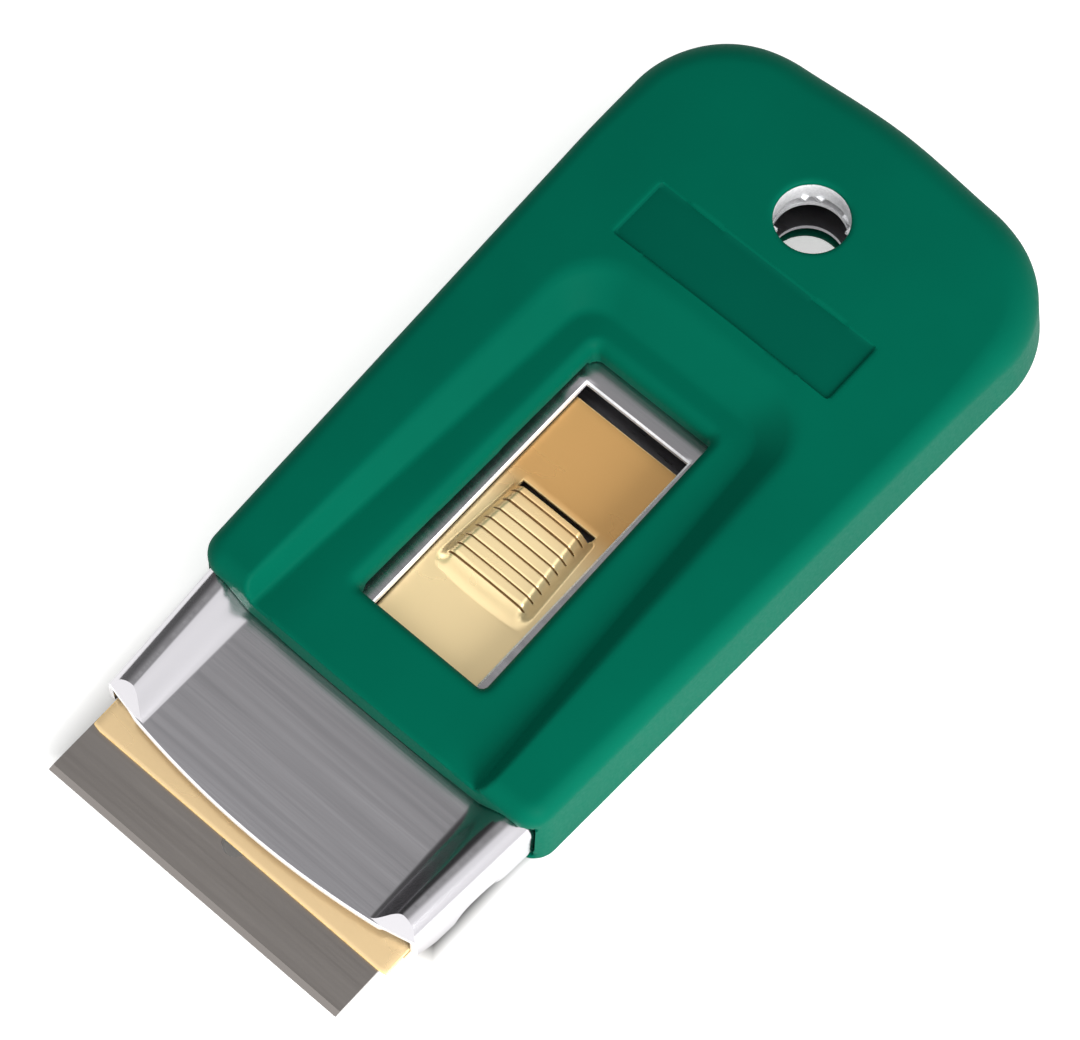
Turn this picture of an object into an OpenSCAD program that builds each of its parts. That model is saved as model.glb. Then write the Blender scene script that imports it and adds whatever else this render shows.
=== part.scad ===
// Pocket scraper for glass and ceramic hobs, lying on its back.
// A stamped steel case is pushed into a moulded grip. A carrier of spring sheet slides in the case,
// holds a single-edge blade at its front and has a ribbed thumb louver that shows in a window.
// Millimetres, +Z up through the face. Inside place() y is measured from the cutting edge towards the grip.

/* [Blade] */
// Width of the cutting edge
blade_w = 39.5; // [34:0.5:44]
// Depth of the blade from its edge to its back
blade_l = 19.5; // [18:0.25:22]
// Thickness of the blade
blade_t = 0.25; // [0.2:0.05:0.4]
// Length of the ground bevel behind the edge
bevel_l = 0.7; // [0.4:0.1:1.2]
// Diameter of the hole in the blade's middle
blade_hole_d = 3; // [2:0.25:4]
// Distance of that hole from the edge
blade_hole_y = 6.8; // [6:0.1:8]
// How far the blade lies to one side in its pocket
blade_play = 0.55; // [0:0.05:1]
// Depth of the folded spine over the blade's back
spine_l = 5.4; // [4:0.2:6]
// Thickness of the spine's sheet
spine_t = 0.4; // [0.3:0.05:0.5]

/* [Blade carrier] */
// Thickness of the carrier's sheet
carrier_t = 0.4; // [0.3:0.05:0.5]
// Length of blade that stands out of the carrier
blade_show = 6.3; // [5:0.1:7]
// How far the lip is wider than the blade on each side
lip_over = 0.4; // [0.2:0.05:0.6]
// Cut corners of the lip
lip_cut = 0.6; // [0.3:0.1:1]
// Length of the step from the pressed lip up to the flat above the spine
step_l = 1.2; // [0.8:0.1:1.5]
// Room between that step and the spine
step_gap = 0.2; // [0.1:0.05:0.5]
// How far the folded ears reach in front of the spine
ear_reach = 5; // [3:0.25:6]
// Half of the gap between the two folded ears
ear_gap = 8.6; // [7.5:0.1:12]
// Width of the tongue
tongue_w = 13.2; // [13:0.1:13.7]
// How far the tongue is raised above the head
tongue_rise = 0.7; // [0.3:0.05:1]
// Distance from the folded back to the crank that raises the tongue
crank_set = 1; // [0.5:0.1:2]
// Length of that crank
crank_l = 3; // [2:0.1:4]
// Gap between the tongue's end and the rear of the case's window
tongue_end_gap = 1.4; // [0.8:0.1:2.5]

/* [Thumb louver] */
// Width of the raised louver
louver_w = 12.6; // [11:0.1:12.9]
// Length of the louver from its soft front bend to its open rear
louver_l = 12.6; // [12:0.1:13.4]
// Height of the louver above the tongue
louver_h = 2; // [1.5:0.1:2.6]
// Length of the open slit behind the louver
slit_l = 1.2; // [0.8:0.1:1.5]
// Width of the slit
slit_w = 9.6; // [8:0.1:10.5]
// Number of grip grooves across the louver
rib_count = 8; // [5:1:9]
// Distance between the grooves
rib_pitch = 1.35; // [1.2:0.05:1.35]
// Depth of a groove
rib_depth = 0.15; // [0.05:0.01:0.2]

/* [Case] */
// Thickness of the case's sheet
case_t = 0.7; // [0.5:0.05:0.9]
// Free room beside the blade when it lies to one side
side_gap = 0.05; // [0.03:0.01:0.3]
// Widening of each side wall for each millimetre in front of the grip
mouth_flare = 0.062; // [0.03:0.002:0.08]
// The same inside the grip
grip_flare = 0.0386; // [0.02:0.0002:0.05]
// How far the case's front edge stands behind the carrier's lip in the middle
mouth_set = 1.45; // [0.5:0.05:3]
// Radius of the bowed front edge, seen from above
mouth_bow_r = 106; // [80:1:200]
// Room above the tongue, under the face panel
panel_gap = 0.6; // [0.3:0.05:1]
// Height of the side beads above the face panel
bead_h = 2.5; // [1.5:0.1:3]
// Width of a bead at the mouth
bead_front_w = 5.5; // [5:0.1:6.5]
// Width of a bead where it enters the grip
bead_grip_w = 7.1; // [6.5:0.1:8]
// Distance from the mouth to the sloped front end of a bead
bead_set = 1.55; // [1.3:0.05:2]
// Length of that slope
bead_rise_l = 1.8; // [1.4:0.1:3]
// Rounding of the case's outer top corner
case_corner_r = 2.6; // [2:0.1:3]
// Rounding where a side wall turns into its lip
curl_r = 1.3; // [1:0.1:1.6]
// Width of the lip under the back plate
case_lip_w = 3.4; // [2.5:0.1:5]
// Length that the side wall's front edge is raked back
rake_l = 3.4; // [2:0.1:4.5]
// Length of the arched notch in the side wall's lower edge
notch_l = 7.3; // [5:0.1:9]
// Height of that notch
notch_h = 2.7; // [1.5:0.1:3.2]
// Distance from the raked edge to the notch
notch_set = 1.6; // [1:0.1:3]
// Thickness of the back plate
back_t = 0.6; // [0.5:0.05:0.8]

/* [Window and travel] */
// Half of the case window's width
window_half = 7; // [6.9:0.1:7.5]
// Length of the case's window
window_l = 34.8; // [32:0.2:38]
// Rear edge of the case's window from the cutting edge
window_y1 = 67.8; // [66:0.2:70]
// Travel of the carrier from blade out to blade in
travel = 12.5; // [11:0.1:13]
// Gap between the louver and the window's rear edge with the blade in
stop_gap = 0.4; // [0.2:0.05:1]

/* [Rear deck and hanging hole] */
// Distance from the case's window to the rise towards the deck
deck_set = 3.2; // [2.8:0.1:4]
// Length of that rise
deck_rise_l = 4; // [3:0.1:5]
// How far the rear deck stands above the beads
deck_step = 0.6; // [0:0.05:0.8]
// Radius of the hanging hole
hang_r = 4.15; // [3:0.05:5]
// Distance of the hanging hole from the grip's rear end
hang_set = 16.8; // [14:0.1:20]
// How far the collar stays below the grip's face
collar_set = 0.5; // [0.3:0.05:1]
// Free room between the deck and the hem folded under it
hem_gap = 0.65; // [0.3:0.05:1]
// Width of the hem
hem_w = 24; // [14:0.5:26]
// Length of the hem
hem_l = 22; // [18:0.5:26]
// Distance of the case's rear end from the grip's rear end
case_end_set = 4.5; // [4:0.1:7]
// Radius of the case's rear corners
case_end_r = 11; // [9:0.5:13]

/* [Grip] */
// Front edge of the grip from the cutting edge
grip_y0 = 25.4; // [24:0.1:27]
// Length of the grip
grip_l = 87.2; // [84:0.2:95]
// Thickness of the grip's side walls
grip_wall = 1.2; // [1:0.05:2]
// Thickness of the grip's back
grip_floor = 1.2; // [0.9:0.05:2]
// Thickness of the grip over the beads
grip_cover = 3.3; // [2.6:0.05:4]
// Radius of the grip's front corners, seen from above
grip_front_r = 3; // [2.5:0.1:4]
// Radius of the grip's rear corners, seen from above
grip_rear_r = 14; // [12:0.5:15]
// Bow of the grip's rear end
grip_bow = 1; // [0.5:0.1:2]
// Rounding of the face's outer edge at the front
grip_edge_r = 1.8; // [1:0.1:2.2]
// The same at the rear end
grip_rear_edge_r = 3.6; // [2:0.1:4]
// How far the walls lean in from the back to the face
grip_taper = 0.2; // [0:0.05:0.5]
// The same at the rear end, which leans in further
grip_rear_lean = 1.2; // [0.4:0.1:1.8]
// Rounding of the back's outer edge
grip_back_r = 1.2; // [0.8:0.1:1.8]

/* [Relief on the grip] */
// Depth of the valley's foot below the face
foot_depth = 2.8; // [2:0.1:3.2]
// Depth of the window's lip below the face
lip_depth = 2.4; // [1.5:0.1:3]
// Distance from the window's side to the valley's foot
foot_margin = 4.6; // [4:0.1:5]
// Distance from the window's side to the valley's crest
crest_margin = 7.6; // [6.5:0.1:8.5]
// Distance from the window's rear edge to the valley's foot
foot_rear = 3.7; // [3.3:0.1:4.5]
// Distance from the window's rear edge to the valley's crest
crest_rear = 8.1; // [7:0.1:9]
// Rounding of the foot's rear corners
foot_r = 3.5; // [2:0.1:5]
// Rounding of the crest's rear corners
crest_r = 6.5; // [4:0.1:8]
// How far the grip's window is wider than the case's at its front
view_front = 1.6; // [1:0.1:2]
// The same at its rear
view_rear = 1; // [0.6:0.1:1.2]
// How far the grip's window starts behind the case window's front edge
view_y0_set = 1; // [0.6:0.1:2]
// How far the grip's window ends behind the case window's rear edge
view_y1_set = 2.6; // [2:0.1:3.2]
// Rounding of the window's lip
view_edge_r = 1.1; // [0.6:0.1:1.4]
// Height of the hollow under the window's sides
core_h = 1; // [0.6:0.1:1.6]
// Width of that hollow
core_w = 4.5; // [2:0.1:5]
// Width of the shallow plate recess
plate_w = 29.4; // [20:0.2:32]
// Length of the recess along the grip
plate_l = 7.8; // [6:0.1:9]
// Distance of the recess from the valley's crest
plate_set = 2.2; // [1:0.1:3]
// Depth of the recess
plate_depth = 0.4; // [0.2:0.05:0.6]

/* [Fits] */
// Gap between sliding faces
slide_gap = 0.1; // [0.05:0.01:0.2]
// Gap between the grip and the case
grip_gap = 0.1; // [0.05:0.01:0.2]

/* [Hidden] */
$fn = 64;
cut = 1;
bend_steps = 6;
grip_y1 = grip_y0 + grip_l;

// Levels, from the grip's back up
lip_z0 = grip_floor + grip_gap;
back_z0 = lip_z0 + case_t;
back_z1 = back_z0 + back_t;
ear_z0 = back_z1 + slide_gap;
ear_z1 = ear_z0 + carrier_t;
blade_z0 = ear_z1 + spine_t;
blade_z1 = blade_z0 + blade_t;
head_z0 = blade_z1 + spine_t;
head_z1 = head_z0 + carrier_t;
tongue_z0 = head_z1 + tongue_rise;
tongue_z1 = tongue_z0 + carrier_t;
panel_z = tongue_z1 + panel_gap + case_t;
bead_z = panel_z + bead_h;
deck_z = bead_z + deck_step;
grip_z = bead_z + grip_cover;
hem_z0 = deck_z - 2 * case_t - hem_gap;
foot_z = grip_z - foot_depth;
view_z = grip_z - lip_depth;

// Stations along the length, from the cutting edge
spine_y0 = blade_l - spine_l;
step_y0 = spine_y0 - step_gap - step_l;
head_y1 = blade_l + spine_t + blade_t / 2;
fold_r = (head_z0 - ear_z1) / 2;
tongue_y1 = window_y1 - tongue_end_gap;
window_y0 = window_y1 - window_l;
slit_y1 = window_y1 - travel - stop_gap + slit_l / 2;
slit_y0 = slit_y1 - slit_l;
louver_y0 = slit_y0 - louver_l;
crank_y0 = head_y1 + crank_set;
crank_y1 = crank_y0 + crank_l;
mouth_y = blade_show + mouth_set;
bead_y0 = mouth_y + bead_set;
bead_y1 = bead_y0 + bead_rise_l;
deck_y0 = window_y1 + deck_set;
deck_y1 = deck_y0 + deck_rise_l;
case_y1 = grip_y1 - case_end_set;
hang_y = grip_y1 - hang_set;
view_y0 = window_y0 + view_y0_set;
view_y1 = window_y1 + view_y1_set;
foot_y1 = view_y1 + foot_rear;
crest_y1 = view_y1 + crest_rear;
plate_y0 = crest_y1 + plate_set;

// Half widths
carrier_half = blade_w / 2 + lip_over;
mouth_half = blade_w / 2 + max(blade_play, lip_over) + side_gap + case_t;
view_half0 = window_half + view_front;
view_half1 = window_half + view_rear;

// The raked front edge of a side wall, at the panel's corner and at the lip
rake_y0 = mouth_y + mouth_half * mouth_half / (2 * mouth_bow_r);
rake_y1 = rake_y0 + rake_l;
notch_y = rake_y1 + notch_set + notch_l / 2;
notch_r = (notch_l * notch_l / 4 + notch_h * notch_h) / (2 * notch_h);

function smooth(t) = t <= 0 ? 0 : t >= 1 ? 1 : t * t * (3 - 2 * t);
function ramp(v, a, b) = smooth((v - a) / (b - a));
function mix(a, b, t) = a + (b - a) * t;
function reversed(l) = [for (i = [len(l) - 1 : -1 : 0]) l[i]];
function mirrored(l) = [for (p = reversed(l)) [-p.x, p.y]];
function arc(c, r, a0, a1, n = bend_steps) =
    [for (i = [0 : n]) c + r * [cos(mix(a0, a1, i / n)), sin(mix(a0, a1, i / n))]];

// The line that runs at distance d to the left of a path, with mitred corners
function side_of(p, q) = let (d = (q - p) / norm(q - p)) [-d.y, d.x];
function beside(path, d) =
    let (last = len(path) - 1)
    [for (i = [0 : last])
        let (
            j = max(i - 1, 0),
            k = min(i, last - 1),
            a = side_of(path[j], path[j + 1]),
            b = side_of(path[k], path[k + 1])
        )
        path[i] + d * (a + b) / (1 + a * b)];
// The cross-section of a sheet of thickness d whose one face follows the path
function sheet(path, d) = concat(path, reversed(beside(path, d)));

// Half width of the case at y
function case_half(y) =
    mouth_half
    + mouth_flare * (min(y, grip_y0) - rake_y0)
    + grip_flare * max(0, y - grip_y0);
function grip_half(y) = case_half(y) + grip_gap + grip_wall;
function bead_w(y) = mix(bead_front_w, bead_grip_w, min(1, (y - mouth_y) / (grip_y0 - mouth_y)));
function panel_at(y) = mix(panel_z, deck_z, ramp(y, deck_y0, deck_y1));
// Height of a bead's sloped front end above the panel, on its outer and its inner face
function lift(y) = bead_h * max(0, y - bead_y0) / bead_rise_l;
slope_t = case_t * sqrt(1 + pow(bead_h / bead_rise_l, 2));
function inner_lift(y) = max(0, lift(y) + case_t - slope_t);

// Outer face of the case at y behind the slopes, in x and z, from the middle to the end of the right lip
function case_right(y) =
    let (
        w = case_half(y),
        crease = w - bead_w(y),
        shoulder = w - case_corner_r,
        base = panel_at(y),
        crest = max(base, bead_z)
    )
    concat(
        [for (i = [0 : bend_steps])
            [mix(crease, shoulder, i / bend_steps), mix(base, crest, smooth(i / bend_steps))]],
        arc([shoulder, crest - case_corner_r], case_corner_r, 90 - 90 / bend_steps, 0, bend_steps - 1),
        arc([w - curl_r, lip_z0 + curl_r], curl_r, 0, -90, 5),
        [[w - case_lip_w, lip_z0]]
    );
function case_face(y) = concat(mirrored(case_right(y)), case_right(y));
function below(path, z) = [for (p = path) [p.x, min(p.y, z)]];
// The sheet's section, whose bead is cut down by the slope
function case_sheet(y) =
    let (face = case_face(y), base = panel_at(y))
    concat(
        below(face, base + lift(y)),
        below(reversed(beside(face, -case_t)), base - case_t + inner_lift(y))
    );
case_stations = [
    mouth_y - cut,
    for (i = [0 : 6]) bead_y0 + bead_rise_l * i / 5,
    grip_y0,
    for (i = [0 : 3]) mix(deck_y0, deck_y1, i / 3),
    case_y1 + cut
];

// A solid through a row of outlines that all have the same number of points.
// The outline of a sheet has its two faces point by point side by side, so its ends are strips.
module loft(rings, is_sheet = true) {
    n = len(rings[0]);
    last = len(rings) - 1;
    strips = [
        for (i = [0 : n / 2 - 2])
            each [[i, i + 1, n - 2 - i], [i, n - 2 - i, n - 1 - i]]
    ];
    front = is_sheet ? strips : [[for (i = [0 : n - 1]) i]];
    polyhedron(
        points = [for (ring = rings) each ring],
        faces = [
            each front,
            for (face = front) [for (i = reversed(face)) last * n + i],
            for (k = [0 : last - 1], i = [0 : n - 1])
                let (a = k * n + i, b = k * n + (i + 1) % n)
                each [[a, a + n, b + n], [a, b + n, b]]
        ],
        convexity = 10
    );
}
function ring_at(y, section) = [for (p = section) [p.x, y, p.y]];

module place() translate([0, -grip_y1 / 2, 0]) children();

// Extrudes a side view, drawn in y and z, across the width
module across(width) rotate([90, 0, 90]) translate([0, 0, -width / 2]) linear_extrude(width) children();

module both_sides() {
    children();
    mirror([1, 0, 0]) children();
}

// Takes the rear corner off a plan outline
module corner_waste(half, y1, r) {
    difference() {
        translate([half - r, y1 - r]) square(r + 4 * cut);
        translate([half - r, y1 - r]) circle(r);
    }
}

// Plan outline of the case, grown by g
module case_plan(g = 0) {
    half = case_half(case_y1) + g;
    difference() {
        translate([-half - cut, -cut]) square([2 * (half + cut), case_y1 + g + cut]);
        both_sides() corner_waste(half, case_y1 + g, case_end_r);
    }
}

module rounded_plan(half0, half1, y0, y1, r) {
    difference() {
        polygon([[-half0, y0], [half0, y0], [half1, y1], [-half1, y1]]);
        both_sides() corner_waste(half1, y1, r);
    }
}

module case_front() color([0.62, 0.62, 0.64]) place() {
    difference() {
        intersection() {
            loft([for (y = case_stations) ring_at(y, case_sheet(y))]);
            linear_extrude(grip_z) case_plan();
            translate([0, mouth_y + mouth_bow_r, 0]) cylinder(r = mouth_bow_r, h = grip_z, $fn = 180);
        }
        translate([-window_half, window_y0, panel_z - 2 * case_t]) cube([2 * window_half, window_l, 3 * case_t]);
        side_rakes();
        translate([0, notch_y, lip_z0 + notch_h - notch_r])
            for (s = [-1, 1])
                translate([s * mouth_half, 0, 0])
                    rotate([0, 90, 0]) cylinder(r = notch_r, h = 2 * (case_lip_w + cut), center = true);
        translate([0, hang_y, 0]) cylinder(r = hang_r, h = grip_z);
    }
    collar();
    rear_hem();
}

// The side walls' front edges lean back from the face panel to the lips
module side_rakes() {
    for (s = [-1, 1])
        translate([s * mouth_half, 0, 0])
            across(2 * (case_lip_w + cut))
                polygon([
                    [0, 0],
                    [0, panel_z - case_corner_r],
                    [rake_y0, panel_z - case_corner_r],
                    [rake_y1, lip_z0 + case_t],
                    [rake_y1, 0]
                ]);
}

// The collar drawn up out of the deck, round the hanging hole
module collar() {
    translate([0, hang_y, deck_z - case_t])
        difference() {
            cylinder(r = hang_r + case_t, h = grip_z - collar_set - deck_z + case_t);
            translate([0, 0, -cut]) cylinder(r = hang_r, h = grip_z);
        }
}

// The deck's rear end, folded down and forward into a second layer
module rear_hem() {
    mid_z = deck_z - case_t - hem_gap / 2;
    fold_y = case_y1 - case_t - hem_gap / 2;
    difference() {
        across(hem_w)
            polygon(sheet(
                concat(
                    [[fold_y - cut, deck_z]],
                    arc([fold_y, mid_z], case_t + hem_gap / 2, 90, -90),
                    [[case_y1 - hem_l, hem_z0]]
                ),
                -case_t
            ));
        translate([0, hang_y, 0]) cylinder(r = hang_r, h = grip_z);
    }
}

module case_back() color([0.55, 0.55, 0.57]) place() {
    inset = curl_r + side_gap;
    difference() {
        translate([0, 0, back_z0])
            linear_extrude(back_t)
                intersection() {
                    polygon([
                        [-(case_half(rake_y1) - inset), rake_y1],
                        [case_half(rake_y1) - inset, rake_y1],
                        [case_half(grip_y0) - inset, grip_y0],
                        [case_half(case_y1) - inset, case_y1],
                        [-(case_half(case_y1) - inset), case_y1],
                        [-(case_half(grip_y0) - inset), grip_y0]
                    ]);
                    case_plan();
                }
        translate([0, hang_y, 0]) cylinder(r = hang_r, h = grip_z);
    }
}

// Side view of the sheet over the blade: the pressed lip, the step and the flat above the spine
function head_line(y1) = [
    [blade_show, blade_z1],
    [step_y0, blade_z1],
    [step_y0 + step_l, head_z0],
    [y1, head_z0]
];

module blade_carrier() color([0.80, 0.65, 0.40]) place() {
    difference() {
        across(2 * carrier_half) polygon(sheet(head_line(blade_l), carrier_t));
        both_sides()
            translate([carrier_half, blade_show, 0]) rotate([0, 0, 45]) cube([2 * lip_cut, sqrt(2) * lip_cut, grip_z], true);
    }
    both_sides() ear();
    across(tongue_w)
        polygon(sheet(
            [[blade_l - cut, head_z0], [crank_y0, head_z0], [crank_y1, tongue_z0], [louver_y0, tongue_z0]],
            carrier_t
        ));
    louver();
    both_sides()
        translate([slit_w / 2, slit_y0, tongue_z0]) cube([(tongue_w - slit_w) / 2, slit_l, carrier_t]);
    translate([-tongue_w / 2, slit_y1, tongue_z0]) cube([tongue_w, tongue_y1 - slit_y1, carrier_t]);
}

// One ear, folded down behind the spine and forward under the blade
module ear() {
    ear_w = carrier_half - ear_gap;
    translate([ear_gap + ear_w / 2, 0, 0])
        across(ear_w)
            polygon(sheet(
                concat(
                    [[blade_l - cut, head_z0]],
                    arc([head_y1, head_z0 - fold_r], fold_r, 90, -90),
                    [
                        [step_y0 + step_l, ear_z1],
                        [step_y0, blade_z0],
                        [spine_y0 - ear_reach, blade_z0]
                    ]
                ),
                carrier_t
            ));
}

// Height of the louver's arch over the tongue, across and along
function arch_across(x) = pow(max(0, 1 - pow(2 * x / louver_w, 2)), 0.8);
function arch_along(y) = ramp(y, louver_y0, louver_y0 + 0.8 * louver_l);
rib_y1 = slit_y0 - rib_pitch / 2;
// Each groove is a station, and so is the crest behind it
louver_stations = [
    louver_y0,
    for (i = [rib_count - 1 : -1 : 0], k = [0, 1]) rib_y1 - rib_pitch * (i - k / 2),
];
function groove_at(y) = abs((rib_y1 - y) / rib_pitch - round((rib_y1 - y) / rib_pitch)) < 0.1 ? rib_depth : 0;
function louver_face(y) =
    let (h = louver_h * arch_along(y), steps = 10)
    [
        [-tongue_w / 2, tongue_z1],
        for (i = [0 : steps])
            let (x = louver_w * (-cos(180 * i / steps)) / 2)
            [x, tongue_z1 + max(0, h - groove_at(y)) * arch_across(x)],
        [tongue_w / 2, tongue_z1]
    ];
module louver() {
    loft([for (y = louver_stations) ring_at(y, sheet(louver_face(y), -carrier_t))]);
}

module blade() color([0.42, 0.40, 0.39]) place() translate([-blade_play, 0, 0]) {
    mid_z = (blade_z0 + blade_z1) / 2;
    difference() {
        across(blade_w)
            polygon([
                [0, mid_z],
                [bevel_l, blade_z0],
                [blade_l, blade_z0],
                [blade_l, blade_z1],
                [bevel_l, blade_z1]
            ]);
        translate([0, blade_hole_y, 0]) cylinder(d = blade_hole_d, h = grip_z);
    }
}

module blade_spine() color([0.60, 0.60, 0.62]) place() translate([-blade_play, 0, 0]) {
    mid_z = (blade_z0 + blade_z1) / 2;
    across(blade_w)
        polygon(sheet(
            concat(
                [[spine_y0, blade_z1]],
                arc([blade_l, mid_z], blade_t / 2, 90, -90),
                [[spine_y0, blade_z0]]
            ),
            spine_t
        ));
}

// A disc with rounded edges at its back and face, whose wall leans in, and which leans forward as a whole
module rounded_disc(r, edge_r, lean = 0) {
    shear = [[1, 0, 0, 0], [0, 1, -lean / grip_z, 0], [0, 0, 1, 0], [0, 0, 0, 1]];
    multmatrix(shear) rotate_extrude($fn = 32)
        polygon(concat(
            [[0, 0]],
            arc([r - grip_back_r, grip_back_r], grip_back_r, -90, 0, 5),
            arc([r - grip_taper - edge_r, grip_z - edge_r], edge_r, 0, 90, 6),
            [[0, grip_z]]
        ));
}

module rear_disc() rounded_disc(grip_rear_r, grip_rear_edge_r, grip_rear_lean);

module grip_block() {
    rear_y = grip_y1 - grip_bow - grip_rear_r;
    rear_x = grip_half(rear_y) - grip_rear_r;
    front_y = grip_y0 + grip_front_r;
    hull() {
        both_sides() {
            translate([grip_half(front_y) - grip_front_r, front_y, 0]) rounded_disc(grip_front_r, grip_edge_r);
            translate([rear_x, rear_y, 0]) rear_disc();
            translate([rear_x / 2, rear_y + 0.75 * grip_bow, 0]) rear_disc();
        }
        translate([0, rear_y + grip_bow, 0]) rear_disc();
    }
}

// The outline of the window in the grip, grown by g
module view_plan(g = 0) {
    polygon([
        [-view_half0 - g, view_y0 - g],
        [view_half0 + g, view_y0 - g],
        [view_half1 + g, view_y1 + g],
        [-view_half1 - g, view_y1 + g]
    ]);
}

module crest_plan() {
    half = view_half0 + crest_margin;
    rounded_plan(half, half, grip_y0 - 2 * cut, crest_y1, crest_r);
}

module foot_plan() {
    rounded_plan(view_half0 + foot_margin, view_half1 + foot_margin, grip_y0 - 2 * cut, foot_y1, foot_r);
}

module grip_relief() {
    difference() {
        grip_block();
        hull() {
            translate([0, 0, grip_z]) linear_extrude(cut) crest_plan();
            translate([0, 0, foot_z]) linear_extrude(cut / 100) foot_plan();
        }
    }
    // The low mound that carries the window
    intersection() {
        hull() {
            translate([0, 0, foot_z - cut]) linear_extrude(cut) foot_plan();
            translate([0, 0, view_z - cut / 100])
                linear_extrude(cut / 100)
                    rounded_plan(view_half0 + view_edge_r, view_half1 + view_edge_r, grip_y0 - cut, view_y1 + view_edge_r, 1);
        }
        translate([-grip_half(grip_y1), grip_y0, 0]) cube([2 * grip_half(grip_y1), grip_l, grip_z]);
    }
}

// The hollow that takes the case, which opens at the front
module case_room() {
    stations = concat([grip_y0 - 2 * cut], [for (y = case_stations) if (y >= grip_y0) y]);
    intersection() {
        loft([for (y = stations) ring_at(y, case_outline(y))], false);
        linear_extrude(grip_z) case_plan(grip_gap);
    }
}
function case_outline(y) =
    let (grown = beside(case_face(y), grip_gap), last = len(grown) - 1)
    [for (i = [1 : last - 1]) grown[i]];

module grip_sleeve() color([0.0, 0.40, 0.32]) place() {
    difference() {
        grip_relief();
        case_room();
        translate([0, 0, panel_z - cut]) linear_extrude(grip_z) view_plan();
        hull() {
            translate([0, 0, view_z - view_edge_r]) linear_extrude(cut / 100) view_plan();
            translate([0, 0, view_z + cut / 100]) linear_extrude(cut / 100) view_plan(0.7 * view_edge_r);
        }
        side_core();
        translate([-plate_w / 2, plate_y0, grip_z - plate_depth]) cube([plate_w, plate_l, 1]);
        translate([0, hang_y, -cut]) cylinder(r = hang_r, h = grip_z + 2 * cut);
        translate([0, hang_y, deck_z - cut])
            cylinder(r = hang_r + case_t + grip_gap, h = grip_z - collar_set + grip_gap - deck_z + cut);
    }
}

// The hollow beside the window, between the grip and the face panel
module side_core() {
    both_sides()
        translate([0, 0, panel_z - cut])
            linear_extrude(core_h + cut)
                polygon([
                    [view_half0 - cut, view_y0 + cut],
                    [view_half0 + core_w, view_y0 + cut],
                    [view_half1 + core_w, view_y1 - cut],
                    [view_half1 - cut, view_y1 - cut]
                ]);
}

grip_sleeve();
case_front();
case_back();
blade_carrier();
blade();
blade_spine();
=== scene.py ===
"""A pocket hob scraper on a pale floor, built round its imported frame.

The moulded grip, the stamped case and the carrier's sheet are remade here with finer curves than the
frame's solids. The blade, its spine and the back plate are the frame's own. Lengths are in millimetres, and
y is measured from the cutting edge towards the hanging hole, until a mesh is made.
"""

import math

import bpy
import numpy as np
from mathutils import Matrix, Vector


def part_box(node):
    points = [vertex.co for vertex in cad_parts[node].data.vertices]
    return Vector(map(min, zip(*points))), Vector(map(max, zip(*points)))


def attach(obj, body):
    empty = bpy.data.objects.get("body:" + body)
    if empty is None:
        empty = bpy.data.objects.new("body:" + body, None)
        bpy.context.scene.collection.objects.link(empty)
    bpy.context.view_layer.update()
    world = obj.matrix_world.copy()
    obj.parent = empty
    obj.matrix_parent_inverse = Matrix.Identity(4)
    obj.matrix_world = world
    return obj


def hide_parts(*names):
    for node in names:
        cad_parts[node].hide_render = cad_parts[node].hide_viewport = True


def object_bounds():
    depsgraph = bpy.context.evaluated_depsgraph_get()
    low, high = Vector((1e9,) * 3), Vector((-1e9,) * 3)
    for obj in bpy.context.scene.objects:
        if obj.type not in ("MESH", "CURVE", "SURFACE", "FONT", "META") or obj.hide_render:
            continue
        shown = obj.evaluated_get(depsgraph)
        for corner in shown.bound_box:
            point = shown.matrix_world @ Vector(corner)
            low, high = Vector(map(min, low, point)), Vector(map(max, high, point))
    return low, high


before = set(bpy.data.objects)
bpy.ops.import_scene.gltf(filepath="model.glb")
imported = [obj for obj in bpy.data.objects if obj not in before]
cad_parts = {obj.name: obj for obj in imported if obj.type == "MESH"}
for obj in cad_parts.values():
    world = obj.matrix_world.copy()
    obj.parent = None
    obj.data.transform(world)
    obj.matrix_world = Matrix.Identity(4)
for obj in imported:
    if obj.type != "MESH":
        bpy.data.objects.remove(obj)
cad_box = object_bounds()

MM = 0.001
EDGE_Y = cad_box[0][1] / MM


def in_mm(corners):
    return [[c / MM for c in corner] for corner in corners]


GRIP_BOX = in_mm(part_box("grip_sleeve"))
CARRIER_BOX = in_mm(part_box("blade_carrier"))
BLADE_BOX = in_mm(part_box("blade"))
CASE_BOX = in_mm(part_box("case_front"))

# Sizes of the stack, from the back up
CASE_T = 0.7
CARRIER_T = 0.4
SPINE_T = 0.4
FACE_Z = GRIP_BOX[1][2]
LIP_Z = CASE_BOX[0][2]
BLADE_Z0 = BLADE_BOX[0][2]
BLADE_Z1 = BLADE_BOX[1][2]
HEAD_Z = BLADE_Z1 + SPINE_T + CARRIER_T
TONGUE_Z = HEAD_Z + 0.7
PANEL_Z = TONGUE_Z + 0.6 + CASE_T
BEAD_Z = PANEL_Z + 2.5
DECK_Z = BEAD_Z + 0.6
FOOT_Z = FACE_Z - 2.8
VIEW_Z = FACE_Z - 2.4

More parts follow.
